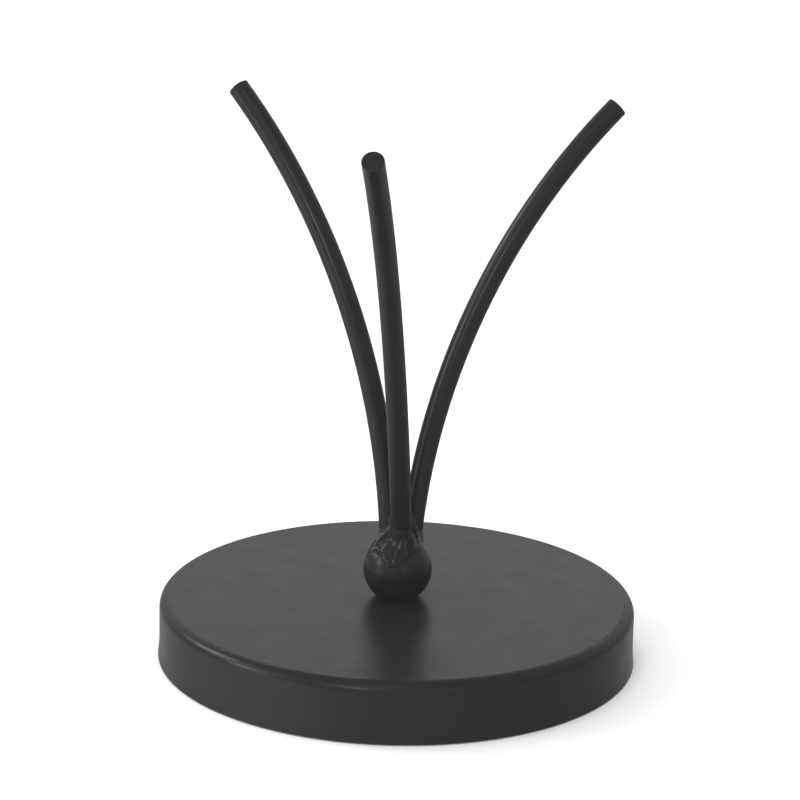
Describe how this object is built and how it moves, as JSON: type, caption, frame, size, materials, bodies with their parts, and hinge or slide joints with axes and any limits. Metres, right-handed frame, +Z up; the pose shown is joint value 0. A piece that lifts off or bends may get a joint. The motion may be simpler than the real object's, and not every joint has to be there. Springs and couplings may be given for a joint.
{
  "type": "mug tree",
  "caption": "Heavy round base with a ball at its middle, from which bent rods rise and lean outwards to hold mugs by their handles.",
  "frame": {"origin": "middle of the foot pad's underside, on the surface that the stand rests on", "axes": "+Z up, -Y towards the front arm, +X to the right as seen from the front"},
  "size_m": [0.18, 0.18, 0.2092],
  "materials": {
    "satin_black_paint": "satin black powder coat with a fine orange peel",
    "cast_iron_weight": "rough, as cast",
    "zinc_plated_steel": "bright zinc plate",
    "pad_foam": "matt closed-cell foam"
  },
  "bodies": {
    "root": {"arm_front": "satin_black_paint", "arm_left": "satin_black_paint", "arm_right": "satin_black_paint", "ball": "satin_black_paint", "ballast_disc": "cast_iron_weight", "base_shell": "satin_black_paint", "bottom_pan": "zinc_plated_steel", "fixing_bolt": "zinc_plated_steel", "foot_pad": "pad_foam", "plain_washer": "zinc_plated_steel", "spring_washer": "zinc_plated_steel", "weld_front": "satin_black_paint", "weld_left": "satin_black_paint", "weld_right": "satin_black_paint"}
  },
  "joints": []
}
